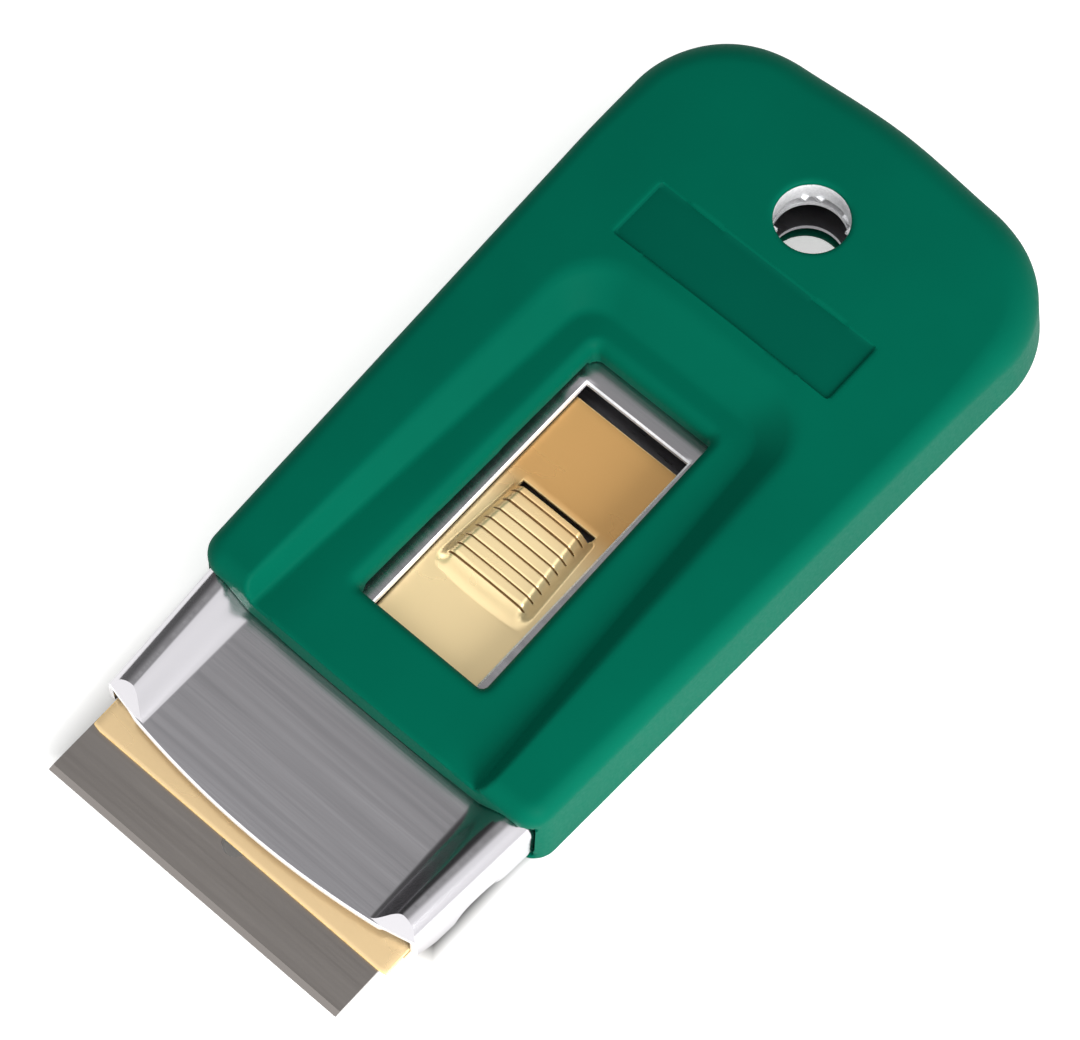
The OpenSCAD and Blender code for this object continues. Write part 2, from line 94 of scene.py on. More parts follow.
# Stations along the length
GRIP_Y0 = GRIP_BOX[0][1] - EDGE_Y
GRIP_Y1 = GRIP_BOX[1][1] - EDGE_Y
CASE_Y1 = CASE_BOX[1][1] - EDGE_Y
MOUTH_Y = CASE_BOX[0][1] - EDGE_Y
HANG_SET = 16.8
HANG_Y = GRIP_Y1 - HANG_SET
HANG_R = 4.15
WINDOW_HALF = 7.0
WINDOW_L = 34.8
WINDOW_Y1 = 67.8
WINDOW_Y0 = WINDOW_Y1 - WINDOW_L
STEP_Y0 = WINDOW_Y1 + 3.2
STEP_L = 4.0
VIEW_Y0 = WINDOW_Y0 + 1.0
VIEW_Y1 = WINDOW_Y1 + 2.6
VIEW_HALF0 = WINDOW_HALF + 1.6
VIEW_HALF1 = WINDOW_HALF + 1.0
VIEW_CORNER_R = 0.7
VIEW_EDGE_R = 1.4
HOLLOW_HALF = VIEW_HALF1 + 4.7
HOLLOW_Y0 = VIEW_Y0 + 1.0
HOLLOW_Y1 = VIEW_Y1 - 1.0
HOLLOW_H = 1.0
FOOT_Y1 = VIEW_Y1 + 3.7
FOOT_HALF0 = VIEW_HALF0 + 6.6
FOOT_HALF1 = VIEW_HALF1 + 4.0
FOOT_R = 3.5
CREST_Y1 = VIEW_Y1 + 8.1
CREST_HALF0 = VIEW_HALF0 + 8.2
CREST_HALF1 = VIEW_HALF0 + 7.5
CREST_R = 6.5
MOUND_RUN = 4.2
MOUND_BLEND = 0.15
VALLEY_BLEND = 0.35
VALLEY_EDGE_R0 = 0.2
VALLEY_EDGE_R1 = 0.45
VALLEY_EDGE_RUN = 4.0
PLATE_Y0 = CREST_Y1 + 2.2
PLATE_L = 7.8
PLATE_HALF = 14.7
PLATE_DEPTH = 0.4
PLATE_EDGE_R = 0.1
REAR_WALL_Y0 = GRIP_Y1 - 20.0
REAR_WALL_T = 1.0
REAR_EDGE_Y0 = GRIP_Y1 - 26.0
REAR_EDGE_RUN = 18.0

# The case's outline and beads
BOW_R = 106.0
MOUTH_HALF = 21.05
MOUTH_FLARE = 0.062
GRIP_FLARE = 0.0386
RAKE_Y0 = MOUTH_Y + MOUTH_HALF**2 / (2 * BOW_R)
RAKE_Y1 = RAKE_Y0 + 3.4
CORNER_R = 2.6
CASE_END_R = 11.0
CURL_R = 1.3
CASE_LIP = 3.4
BEVEL = 0.22
BEAD_W0 = 5.5
BEAD_W1 = 7.1
BEAD_Y0 = MOUTH_Y + 1.55
BEAD_SLOPE = (BEAD_Z - PANEL_Z) / 1.8
NOTCH_H = 2.7
NOTCH_HALF = 3.65
NOTCH_Y = RAKE_Y1 + 1.6 + NOTCH_HALF
GRIP_GAP = 0.1
GRIP_WALL = 1.2
CAVITY_EDGE_R = 0.3
GRIP_TAPER = 0.45
GRIP_REAR_LEAN = 1.8
FACE_CROWN = 0.8
CROWN_HALF = 24.0
GRIP_REAR_R = 13.0
GRIP_FRONT_R = 2.8
GRIP_EDGE_R = 2.0
GRIP_REAR_EDGE_R = 3.6
GRIP_BACK_EDGE_R = 1.2
HOLE_EDGE_R = 0.4
REAR_BOW_HALF = 17.0
FRONT_BOW = 0.3
FRONT_BOW_HALF = 20.0


def smooth(t):
    t = np.clip(t, 0.0, 1.0)
    return t * t * (3.0 - 2.0 * t)


def mix(a, b, t):
    return a + (b - a) * t


def round_max(a, b, r):
    """Where two distance fields meet, the larger one, with their edge rounded to radius r."""
    return np.minimum(np.maximum(a, b), -r) + np.hypot(np.maximum(a + r, 0.0), np.maximum(b + r, 0.0))


def soft_max(a, b, k):
    """The larger of two heights, blended where they are closer than k."""
    h = np.maximum(k - np.abs(a - b), 0.0) / k
    return np.maximum(a, b) + h * h * k * 0.25


def soft_min(a, b, k):
    return -soft_max(-a, -b, k)


def case_half(y):
    """Half of the case's width: it widens quickly up to the grip and slowly inside it."""
    front = MOUTH_HALF + MOUTH_FLARE * (np.minimum(y, GRIP_Y0) - RAKE_Y0)
    return front + GRIP_FLARE * np.maximum(0.0, y - GRIP_Y0)


def grip_half(y):
    return case_half(GRIP_Y0) + GRIP_FLARE * (y - GRIP_Y0) + GRIP_GAP + GRIP_WALL


def bead_width(y):
    return mix(BEAD_W0, BEAD_W1, np.minimum(1.0, (y - MOUTH_Y) / (GRIP_Y0 - MOUTH_Y)))


def panel_at(y):
    """Height of the case's face: the panel, and behind the window the raised deck."""
    return mix(PANEL_Z, DECK_Z, smooth((y - STEP_Y0) / STEP_L))


def crest_at(y):
    return np.maximum(panel_at(y), BEAD_Z)


# Meshes


def make_piece(name, verts, faces, material, body, sharp=40.0, trims=()):
    """A smooth-shaded object from points in millimetres, that rides on a body.

    trims are further materials, each with the faces that take it.
    """
    points = np.asarray(verts, dtype=float) + (0.0, EDGE_Y, 0.0)
    mesh = bpy.data.meshes.new(name)
    mesh.from_pydata((points * MM).tolist(), [], [tuple(int(i) for i in f) for f in faces])
    mesh.materials.append(material)
    slots = np.zeros(len(faces), dtype=int)
    for number, (trim, mask) in enumerate(trims, start=1):
        mesh.materials.append(trim)
        slots[mask] = number
    mesh.polygons.foreach_set("material_index", slots.tolist())
    mesh.validate()
    mesh.polygons.foreach_set("use_smooth", [True] * len(mesh.polygons))
    mesh.set_sharp_from_angle(angle=math.radians(sharp))
    obj = bpy.data.objects.new(name, mesh)
    bpy.context.scene.collection.objects.link(obj)
    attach(obj, body)
    return obj


def grid_faces(cols, keep):
    """Quads of a grid of points, for the cells that keep says are there."""
    i, j = np.nonzero(keep)
    a = i * cols + j
    return np.stack([a, a + 1, a + 1 + cols, a + cols], axis=1)


def thicken(points, faces, thickness, bevel=0.0):
    """Gives a sheet its thickness, away from its normals, and closes its cut edges.

    The cut edges are lowered by the bevel, so that the row of faces beside them slopes. Returns the points,
    the faces and which faces belong to a cut edge.
    """
    points = np.asarray(points, dtype=float)
    p = points[faces]
    normals = np.zeros_like(points)
    face_normal = np.cross(p[:, 2] - p[:, 0], p[:, 3] - p[:, 1])
    for k in range(4):
        np.add.at(normals, faces[:, k], face_normal)
    length = np.linalg.norm(normals, axis=1, keepdims=True)
    normals = normals / np.where(length > 0, length, 1.0)
    used = np.unique(faces)
    number = -np.ones(len(points), dtype=int)
    number[used] = np.arange(len(used))
    top = number[faces]
    n = len(used)
    edges = np.concatenate([top[:, [k, (k + 1) % 4]] for k in range(4)])
    key = np.sort(edges, axis=1)
    _, first, count = np.unique(key, axis=0, return_index=True, return_counts=True)
    rim = edges[first[count == 1]]
    sides = np.stack([rim[:, 1], rim[:, 0], rim[:, 0] + n, rim[:, 1] + n], axis=1)
    on_rim = np.zeros(n)
    on_rim[rim.ravel()] = 1.0
    upper = points[used] - bevel * on_rim[:, None] * normals[used]
    lower = points[used] - thickness * normals[used]
    beside_cut = on_rim[top].any(axis=1)
    trim = np.concatenate([beside_cut, np.zeros(len(top), bool), np.ones(len(sides), bool)])
    return np.concatenate([upper, lower]), np.concatenate([top, top[:, ::-1] + n, sides]), trim


def surface_nets(values, origin, step):
    """The zero surface of a field on a grid, as points and quads."""
    inside = values < 0
    corners = [(a, b, c) for a in (0, 1) for b in (0, 1) for c in (0, 1)]
    shape = [s - 1 for s in values.shape]

    def corner(field, c):
        return field[c[0]:c[0] + shape[0], c[1]:c[1] + shape[1], c[2]:c[2] + shape[2]]

    total = sum(corner(inside, c).astype(np.int8) for c in corners)
    active = (total > 0) & (total < 8)
    cells = np.argwhere(active)
    index = np.full(shape, -1)
    index[active] = np.arange(len(cells))
    place = np.zeros((len(cells), 3))
    count = np.zeros(len(cells))
    for axis in range(3):
        along = np.eye(3, dtype=int)[axis]
        for c in corners:
            if c[axis]:
                continue
            v0 = values[tuple((cells + c).T)]
            v1 = values[tuple((cells + c + along).T)]
            crossing = (v0 < 0) != (v1 < 0)
            t = v0[crossing] / (v0[crossing] - v1[crossing])
            place[crossing] += np.array(c) + t[:, None] * along
            count[crossing] += 1
    verts = np.array(origin) + (cells + place / count[:, None]) * np.array(step)
    quads = []
    for axis in range(3):
        u, v = [np.eye(3, dtype=int)[(axis + k) % 3] for k in (1, 2)]
        along = np.eye(3, dtype=int)[axis]
        core = inside[1:-1, 1:-1, 1:-1]
        ahead = inside[tuple(slice(1 + s, n - 1 + s) for s, n in zip(along, inside.shape))]
        nodes = np.argwhere(core != ahead) + 1
        a, b, c, d = (index[tuple((nodes - o).T)] for o in (0 * u, u, u + v, v))
        starts_inside = inside[tuple(nodes.T)][:, None]
        quads.append(np.where(starts_inside, np.stack([a, b, c, d], 1), np.stack([d, c, b, a], 1)))
    return verts, np.concatenate(quads)


def settle(points, field, rounds=3, reach=0.25):
    """Moves points onto the zero surface of a field."""
    tick = 0.01
    for _ in range(rounds):
        value = field(*points.T)
        slope = np.stack(
            [
                (field(*(points + tick * axis).T) - field(*(points - tick * axis).T)) / (2 * tick)
                for axis in np.eye(3)
            ],
            axis=1,
        )
        size = np.maximum((slope**2).sum(axis=1), 0.25)
        move = -(value / size)[:, None] * slope
        length = np.linalg.norm(move, axis=1, keepdims=True)
        points = points + move * np.minimum(1.0, reach / np.maximum(length, 1e-9))
    return points


# The moulded grip

GRIP_STEP = (0.4, 0.4, 0.3)
FLANK_COS = math.cos(math.atan(GRIP_FLARE))


def plan_field(x, y, half0, half1, y0, y1, r):
    """Distance outside a plan outline whose sides run from half0 at y0 to half1 at y1, open to the front."""
    half = mix(half0, half1, (y - y0) / (y1 - y0))
    return round_max(np.abs(x) - half, y - y1, r)


def grip_outline(x, y, z):
    """Distance outside the grip's plan outline at height z: its walls lean in towards the face."""
    up = np.clip(z / FACE_Z, 0.0, 1.0)
    side = (np.abs(x) - grip_half(y) + GRIP_TAPER * up) * FLANK_COS
    rear = y - GRIP_Y1 + smooth(np.abs(x) / REAR_BOW_HALF) + GRIP_REAR_LEAN * up
    front = GRIP_Y0 - FRONT_BOW * (1.0 - np.minimum(1.0, (x / FRONT_BOW_HALF) ** 2)) - y
    return round_max(round_max(side, rear, GRIP_REAR_R), front, GRIP_FRONT_R)


def face_height(x):
    """Height of the slightly crowned face."""
    return FACE_Z - FACE_CROWN * (x / CROWN_HALF) ** 2


def relief_height(x, y):
    """Height of the valley's floor, flanks and mound. Outside the valley it is above the face."""
    crest = plan_field(x, y, CREST_HALF0, CREST_HALF1, GRIP_Y0, CREST_Y1, CREST_R)
    foot = plan_field(x, y, FOOT_HALF0, FOOT_HALF1, GRIP_Y0, FOOT_Y1, FOOT_R)
    flank = FOOT_Z + (FACE_Z - FOOT_Z) * foot / np.maximum(foot - crest, 0.5)
    mound = soft_min(FOOT_Z - foot * (VIEW_Z - FOOT_Z) / MOUND_RUN, VIEW_Z, MOUND_BLEND)
    return soft_max(flank, mound, VALLEY_BLEND)


def cavity_field(x, y, z):
    """The room for the case, and the hollow beside the window."""
    half = case_half(y) + GRIP_GAP
    crease = half - bead_width(y)
    shoulder = half - CORNER_R
    across = smooth((np.abs(x) - crease) / (shoulder - crease))
    roof = mix(panel_at(y), crest_at(y), across) + GRIP_GAP
    hollow = np.maximum(np.abs(x) - HOLLOW_HALF, np.maximum(HOLLOW_Y0 - y, y - HOLLOW_Y1))
    roof = roof + np.clip(-4.0 * hollow, 0.0, HOLLOW_H) * (across < 0.5)
    walls = round_max(np.abs(x) - half, z - roof, CAVITY_EDGE_R)
    ends = np.maximum(y - CASE_Y1 - GRIP_GAP, np.maximum(LIP_Z - GRIP_GAP - z, GRIP_Y0 - 3.0 - y))
    corner = round_max(np.abs(x) - case_half(CASE_Y1), y - CASE_Y1 - GRIP_GAP, CASE_END_R)
    return np.maximum(np.maximum(walls, ends), corner)


def plate_field(x, y):
    """Distance outside the plate recess, seen from above."""
    return np.maximum(np.abs(x) - PLATE_HALF, np.abs(y - PLATE_Y0 - PLATE_L / 2) - PLATE_L / 2)


def view_field(x, y):
    """Distance outside the grip's opening over the window, seen from above."""
    half = mix(VIEW_HALF0, VIEW_HALF1, (y - VIEW_Y0) / (VIEW_Y1 - VIEW_Y0))
    return round_max(round_max(np.abs(x) - half, y - VIEW_Y1, VIEW_CORNER_R), VIEW_Y0 - y, VIEW_CORNER_R)


def grip_field(x, y, z):
    """About the distance outside the grip."""
    outline = grip_outline(x, y, z)
    edge_r = mix(GRIP_EDGE_R, GRIP_REAR_EDGE_R, smooth((y - REAR_EDGE_Y0) / REAR_EDGE_RUN))
    face = face_height(x)
    body = round_max(outline, z - face, edge_r)
    body = np.where(z < FACE_Z / 2, round_max(outline, -z, GRIP_BACK_EDGE_R), body)
    rear_wall = np.where(y > REAR_WALL_Y0, body + REAR_WALL_T, -20.0)
    relief = (z - relief_height(x, y)) * 0.8
    relief_r = mix(VALLEY_EDGE_R0, VALLEY_EDGE_R1, smooth((y - GRIP_Y0) / VALLEY_EDGE_RUN))
    body = round_max(body, relief, relief_r)
    body = np.where(z > PANEL_Z - 1.5, round_max(body, -view_field(x, y), VIEW_EDGE_R), body)
    body = round_max(body, -np.maximum(plate_field(x, y), face - PLATE_DEPTH - z), PLATE_EDGE_R)
    body = np.maximum(body, -np.maximum(cavity_field(x, y, z), rear_wall))
    hole = np.hypot(x, y - HANG_Y) - HANG_R
    body = round_max(body, -hole, HOLE_EDGE_R)
    collar = np.maximum(hole - CASE_T - GRIP_GAP, np.abs(z - DECK_Z - 0.6) - 1.7)
    return np.maximum(body, -collar)


def build_grip(material, recess):
    reach = 27.6
    low = np.array([-reach, GRIP_Y0 - 1.0, -0.9])
    high = np.array([reach, GRIP_Y1 + 1.0, FACE_Z + 0.9])
    axes = [np.arange(a, b, s) for a, b, s in zip(low, high, GRIP_STEP)]
    values = grip_field(*np.meshgrid(*axes, indexing="ij"))
    points, quads = surface_nets(values, low, GRIP_STEP)
    points = settle(points, grip_field)
    points[:, 2] = np.clip(points[:, 2], 0.0, FACE_Z)
    x, y, z = points[quads].mean(axis=1).T
    # The recess's floor takes the darker green, which is painted shade.
    in_recess = (plate_field(x, y) < -0.05) & (z > face_height(x) - PLATE_DEPTH - 0.1)
    grip = make_piece("grip_moulding", points, quads, material, "root", 50.0, [(recess, in_recess)])
    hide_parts("grip_sleeve")


# The stamped case


def case_columns():
    """The case's outer face across x: functions of y that give x and z, from the middle to the right lip."""

    def crease(y):
        return case_half(y) - bead_width(y)

    def shoulder(y):
        return case_half(y) - CORNER_R

    def flat(t):
        return lambda y: (mix(WINDOW_HALF + BEVEL, crease(y), t), panel_at(y))

    def straight(x):
        return lambda y: (np.full_like(y, x), panel_at(y))

    def flank(t):
        return lambda y: (mix(crease(y), shoulder(y), t), mix(panel_at(y), crest_at(y), smooth(t)))

    def corner(a):
        return lambda y: (
            shoulder(y) + CORNER_R * math.cos(a),
            crest_at(y) - CORNER_R + CORNER_R * math.sin(a),
        )

    def wall(z):
        return lambda y: (case_half(y), np.minimum(z, crest_at(y) - CORNER_R))

    def curl(a):
        return lambda y: (
            case_half(y) - CURL_R + CURL_R * math.cos(a),
            LIP_Z + CURL_R + CURL_R * math.sin(a),
        )

    def lip(t):
        return lambda y: (case_half(y) - mix(CURL_R, CASE_LIP, t), LIP_Z)

    notch_z = LIP_Z + NOTCH_H
    columns = [straight(x) for x in np.linspace(0.0, WINDOW_HALF, 6)]
    columns += [flat(t) for t in np.linspace(0.0, 1.0, 8)]
    columns += [flank(t) for t in np.linspace(0.0, 1.0, 25)[1:]]
    columns += [corner(a) for a in np.radians(np.linspace(90, 0, 19)[1:])]
    columns += [wall(z) for z in (notch_z + 1.6, notch_z + 0.4, notch_z + 0.02)]
    columns += [wall(notch_z - (notch_z - LIP_Z - CURL_R) * t * t) for t in np.linspace(0.0, 1.0, 9)[1:]]
    columns += [curl(a) for a in np.radians(np.linspace(0, -90, 9)[1:])]
    columns += [lip(t) for t in np.linspace(0, 1, 4)[1:]]
    return columns


def front_edge(x, z):
    """Where the case's cut front edge stands, for a point of its section."""
    top = PANEL_Z - CORNER_R
    lean = np.clip((top - z) / (top - LIP_Z - CASE_T), 0.0, 1.0)
    bow = MOUTH_Y + x * x / (2 * BOW_R)
    return np.maximum(bow, (RAKE_Y0 + (RAKE_Y1 - RAKE_Y0) * lean) * (z < top))


SLOT_HALF = 0.35
START_ROWS = 4
SLOPE_ROWS = 10
FRONT_ROWS = 16
NOTCH_ROWS = 11


def notch_width(z):
    """Half of the notch's length at height z, and never less than the rows beside it need."""
    r = (NOTCH_HALF**2 + NOTCH_H**2) / (2 * NOTCH_H)
    drop = LIP_Z + NOTCH_H - z
    return math.sqrt(max(SLOT_HALF**2, 2 * r * drop - drop * drop))


def column_rows(column):
    """Stations of one column, laid so that rows follow the front edge, the bead's slope and the notch."""
    y = RAKE_Y0
    for _ in range(4):
        x, z = (float(v) for v in column(y))
        y = float(front_edge(x, z))
    rise = z - PANEL_Z
    start = max(y + BEVEL + 0.01, BEAD_Y0)
    end = max(start + 0.02, BEAD_Y0 + rise / BEAD_SLOPE)
    half = notch_width(z) if z < LIP_Z + NOTCH_H else SLOT_HALF
    return np.concatenate(
        [
            [y, y + BEVEL],
            np.linspace(y + BEVEL, start, START_ROWS)[1:],
            np.linspace(start, end, SLOPE_ROWS)[1:],
            np.linspace(end, NOTCH_Y - half, FRONT_ROWS)[1:],
            np.linspace(NOTCH_Y - half, NOTCH_Y + half, NOTCH_ROWS)[1:],
            np.linspace(NOTCH_Y + half, GRIP_Y0, 8)[1:],
            np.linspace(GRIP_Y0, WINDOW_Y0 - BEVEL, 6)[1:],
            np.linspace(WINDOW_Y0, WINDOW_Y1, 12),
            np.linspace(WINDOW_Y1 + BEVEL, WINDOW_Y1 + 8.0, 16),
            np.linspace(WINDOW_Y1 + 8.0, CASE_Y1, 30)[1:],
        ]
    )


def build_case(material, trim):
    right = case_columns()
    points = []
    for side, columns in ((-1, right[:0:-1]), (1, right)):
        for column in columns:
            y = column_rows(column)
            x, z = column(y)
            slope = PANEL_Z + BEAD_SLOPE * np.maximum(0.0, y - BEAD_Y0)
            points.append(np.stack([side * x, y, np.minimum(z, np.maximum(slope, panel_at(y)))], axis=1))
    points = np.array(points).transpose(1, 0, 2)
    cols = points.shape[1]
    middle = 0.25 * (points[:-1, :-1] + points[1:, :-1] + points[:-1, 1:] + points[1:, 1:])
    x, y, z = (middle[..., k] for k in range(3))
    keep = ~((np.abs(x) < WINDOW_HALF) & (y > WINDOW_Y0) & (y < WINDOW_Y1))
    keep &= np.hypot(x, y - HANG_Y) > HANG_R
    keep &= round_max(np.abs(x) - case_half(CASE_Y1), y - CASE_Y1, CASE_END_R) < 0
    low = np.maximum(points[:-1, :-1, 2], points[:-1, 1:, 2]) < LIP_Z + NOTCH_H - 1e-4
    keep &= ~(low & (np.abs(y - NOTCH_Y) < NOTCH_HALF) & notch_cells(len(keep))[:, None])
    faces = grid_faces(cols, keep)
    verts, quads, cut = thicken(points.reshape(-1, 3), faces, CASE_T, 0.75 * BEVEL)
    case = make_piece("case_stamping", verts, quads, material, "root", 30.0, [(trim, cut)])
    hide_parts("case_front")


def notch_cells(count):
    """Which rows of cells lie in the notch."""
    first = START_ROWS + SLOPE_ROWS + FRONT_ROWS - 2
    cells = np.zeros(count, bool)
    cells[first:first + NOTCH_ROWS - 1] = True
    return cells


def build_collar(material):
    """The drawn collar in the hanging hole and the hem's ring below it."""
    steps = 96
    rim_z = FACE_Z - 0.5
    collar = [(HANG_R + 0.35, DECK_Z - CASE_T), (HANG_R + 0.02, DECK_Z - 0.25), (HANG_R, DECK_Z + 0.2)]
    collar += [(HANG_R, rim_z - 0.12), (HANG_R + 0.1, rim_z), (HANG_R + CASE_T, rim_z)]
    collar += [(HANG_R + CASE_T, DECK_Z)]
    hem_r = HANG_R + 4.0
    hem_z = DECK_Z - 2 * CASE_T - 0.65
    hem = [(HANG_R, hem_z), (HANG_R, hem_z + CASE_T), (hem_r, hem_z + CASE_T), (hem_r, hem_z)]
    for name, line, closed in (("hole_collar", collar, False), ("hem_ring", hem, True)):
        angles = np.linspace(0, 2 * math.pi, steps, endpoint=False)
        verts = [(r * math.cos(a), HANG_Y + r * math.sin(a), z) for a in angles for r, z in line]
        n = len(line)
        last = n if closed else n - 1
        faces = [
            (k * n + i, k * n + (i + 1) % n, (k + 1) % steps * n + (i + 1) % n, (k + 1) % steps * n + i)
            for k in range(steps)
            for i in range(last)
        ]
        ring = make_piece(name, verts, faces, material, "root")


# The carrier's sheet

CARRIER_HALF = CARRIER_BOX[1][0]
TONGUE_HALF = 7.1
BLADE_Y1 = BLADE_BOX[1][1] - EDGE_Y
SPINE_Y0 = BLADE_Y1 - 5.4
EAR_STEP = 1.4
EAR_L = 5.0
EAR_X0 = 8.6
LIP_Y0 = CARRIER_BOX[0][1] - EDGE_Y
LIP_Y1 = SPINE_Y0 - EAR_STEP
LIP_TILT = 0.05
LIP_RUN = 1.2
HEAD_Y1 = BLADE_Y1 + 0.5
CRANK_Y0 = HEAD_Y1 + 1.0
TONGUE_Y1 = CARRIER_BOX[1][1] - EDGE_Y
SLIT_W = 1.2
SLIT_Y1 = WINDOW_Y1 - 12.3
SLIT_Y0 = SLIT_Y1 - SLIT_W
SLIT_HALF = 5.0
LOUVER_L = 12.4
LOUVER_H = 2.0
LOUVER_FRONT = 6.5
LOUVER_REAR = 5.7
LOUVER_BOW = 0.4
LOUVER_BEND = 2.6
LOUVER_FLANK = 2.0
LOUVER_FALL = 0.9
RAMP_Y1 = SLIT_Y0 - LOUVER_L
RIB_PITCH = 1.35
RIB_COUNT = 8
RIB_SET = 0.75
RIB_W = 0.12
RIB_DEPTH = 0.12


def louver_rise(x, y):
    """The louver over the tongue, flat across its top: a steep bend at its front, a gentle rise behind it."""
    start = RAMP_Y1 + LOUVER_BOW * (x / LOUVER_FRONT) ** 2
    behind = np.clip(y - start, 0.0, LOUVER_L)
    along = 0.7 * smooth(behind / LOUVER_BEND) + 0.3 * behind / LOUVER_L
    half = mix(LOUVER_FRONT, LOUVER_REAR, np.clip((y - SLIT_Y0) / LOUVER_L + 1.0, 0.0, 1.0))
    across = smooth((half - np.abs(x)) / LOUVER_FLANK) * (1.0 - 0.12 * (x / half) ** 2)
    return LOUVER_H * across * along


def groove_depth(x, y):
    """How deep the grip grooves are pressed, from 0 to 1."""
    groove = np.zeros_like(x)
    for k in range(RIB_COUNT):
        groove = np.maximum(groove, np.exp(-(((y - SLIT_Y0 + RIB_SET + k * RIB_PITCH) / RIB_W) ** 2)))
    return groove * smooth((louver_rise(x, y) - 0.5) / 0.5)


def louver_height(x, y):
    """The louver with its grooves, which falls back to the tongue within the slit."""
    rise = louver_rise(x, y) - RIB_DEPTH * groove_depth(x, y)
    return rise * (1.0 - smooth((y - SLIT_Y0) / LOUVER_FALL))


def carrier_height(x, y):
    """Height of the sheet's top: the tilted lip, the head, the crank and the tongue."""
    lip = BLADE_Z1 + CARRIER_T + LIP_TILT * (y - LIP_Y0)
    z = mix(lip, HEAD_Z, smooth((y - LIP_Y1) / LIP_RUN))
    ramp = np.clip((y - CRANK_Y0) / (RAMP_Y1 - CRANK_Y0), 0.0, 1.0)
    return z + (TONGUE_Z - HEAD_Z) * ramp + louver_height(x, y)


def build_carrier(material, trim, groove):
    edge = 0.12
    xs = np.concatenate(
        [
            np.linspace(0.0, SLIT_HALF - edge, 40),
            [SLIT_HALF, SLIT_HALF + edge],
            np.linspace(SLIT_HALF + edge, TONGUE_HALF - edge, 20)[1:],
            [TONGUE_HALF],
            np.linspace(TONGUE_HALF, CARRIER_HALF - edge, 15)[1:],
            [CARRIER_HALF],
        ]
    )
    xs = np.concatenate([-xs[:0:-1], xs])
    ys = np.concatenate(
        [
            [LIP_Y0],
            np.linspace(LIP_Y0 + edge, HEAD_Y1 - edge, 40),
            [HEAD_Y1],
            np.linspace(HEAD_Y1, RAMP_Y1, 40)[1:],
            np.linspace(RAMP_Y1, SLIT_Y0 - edge, 240)[1:],
            [SLIT_Y0],
            np.linspace(SLIT_Y0, SLIT_Y1, 9)[1:],
            np.linspace(SLIT_Y1 + edge, TONGUE_Y1 - edge, 16),
            [TONGUE_Y1],
        ]
    )
    x, y = np.meshgrid(xs, ys)
    cut = 0.3
    cut_run = 3.0
    corner = np.clip(cut - (CARRIER_HALF - np.abs(x)), 0.0, cut) * smooth((LIP_Y0 + cut_run - y) / cut_run)
    points = np.stack([x, y + corner, carrier_height(x, y)], axis=-1)
    mx = 0.25 * (x[:-1, :-1] + x[1:, :-1] + x[:-1, 1:] + x[1:, 1:])
    my = 0.25 * (y[:-1, :-1] + y[1:, :-1] + y[:-1, 1:] + y[1:, 1:])
    keep = (np.abs(mx) < TONGUE_HALF) | (my < HEAD_Y1)
    keep &= ~((np.abs(mx) < SLIT_HALF) & (my > SLIT_Y0) & (my < SLIT_Y1))
    faces = grid_faces(len(xs), keep)
    verts, quads, cut_faces = thicken(points.reshape(-1, 3), faces, CARRIER_T, 0.06)
    # The pressed grooves take a dark brown finish: painted shade in the grooves.
    pressed = np.zeros(len(quads), bool)
    pressed[:len(faces)] = (groove_depth(mx, my) > 0.45)[keep]
    carrier = make_piece(
        "carrier_sheet", verts, quads, material, "carrier", 50.0, [(trim, cut_faces), (groove, pressed)]
    )
    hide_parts("blade_carrier")
    build_ears(material)


def build_ears(material):
    """The two ears, folded down behind the spine and forward under the blade."""
    ear_z1 = BLADE_Z0 - SPINE_T
    top = HEAD_Z - CARRIER_T
    fold_r = (top - ear_z1) / 2
    line = [(HEAD_Y1 - 0.6, top)]
    for a in np.radians(np.linspace(90, -90, 17)):
        line.append((HEAD_Y1 + fold_r * math.cos(a), (top + ear_z1) / 2 + fold_r * math.sin(a)))
    line += [(SPINE_Y0 - 0.2, ear_z1), (SPINE_Y0 - EAR_STEP, BLADE_Z0), (SPINE_Y0 - EAR_L, BLADE_Z0)]
    line = np.array(line)
    for name, side in (("left_ear", -1), ("right_ear", 1)):
        xs = np.sort(np.linspace(EAR_X0, CARRIER_HALF, 12) * side)
        points = np.array([[(x, y, z) for x in xs] for y, z in line])
        faces = grid_faces(len(xs), np.ones((len(line) - 1, len(xs) - 1), bool))
        verts, quads, _ = thicken(points.reshape(-1, 3), faces, -CARRIER_T)
        ear = make_piece(name, verts, quads[:, ::-1], material, "carrier")


# Materials


